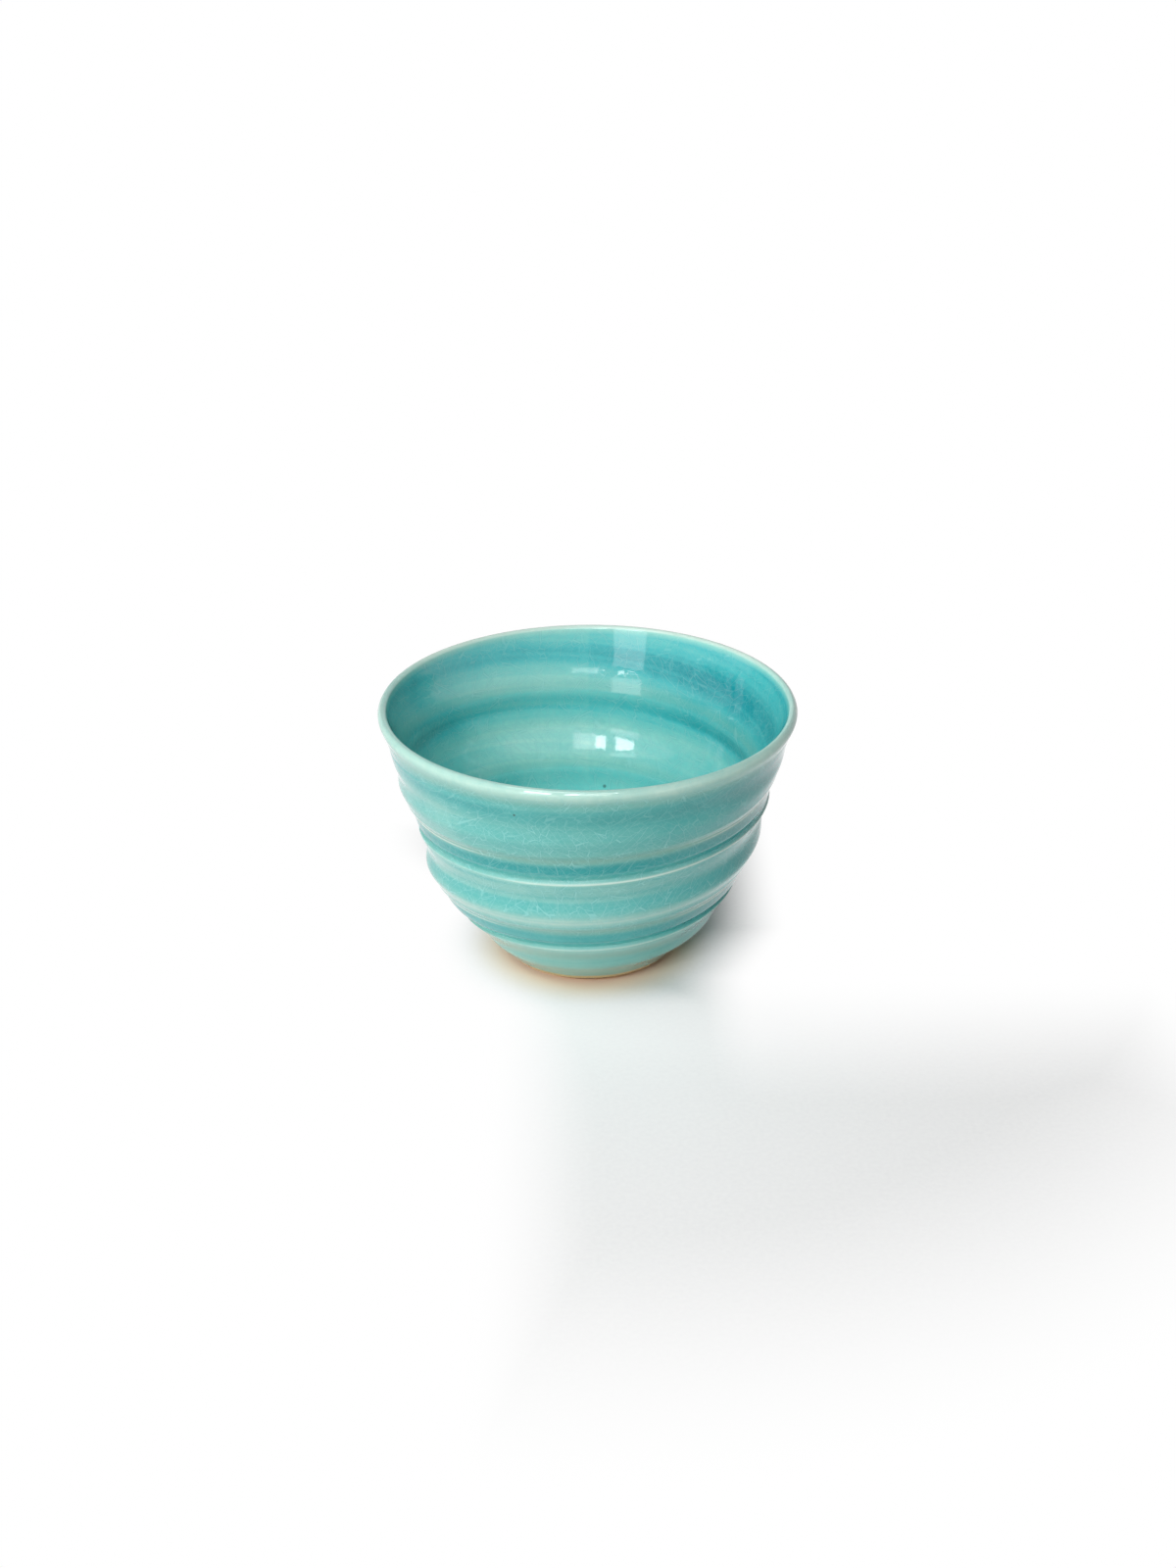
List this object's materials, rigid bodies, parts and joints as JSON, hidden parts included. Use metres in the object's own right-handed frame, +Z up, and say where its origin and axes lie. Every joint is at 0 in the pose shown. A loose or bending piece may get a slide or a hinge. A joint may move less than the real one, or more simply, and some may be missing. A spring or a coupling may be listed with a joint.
{
  "type": "handle-less cup",
  "caption": "Wheel-thrown handle-less drinking cup or tea bowl with a spiral throwing ring, a flared wall and a crackle glaze inside and out over a bare clay foot.",
  "frame": {"origin": "middle of the foot, on the surface that the cup stands on", "axes": "+Z up along the cup's axis; -Y is the side that faces the camera in the picture, with +X to its right"},
  "size_m": [0.106, 0.106, 0.07],
  "materials": {
    "clay": "matt",
    "outer_glaze": "gloss",
    "inner_glaze": "gloss"
  },
  "bodies": {
    "root": {"clay_body": "clay", "outer_glaze": "outer_glaze", "inner_glaze": "inner_glaze"}
  },
  "joints": []
}
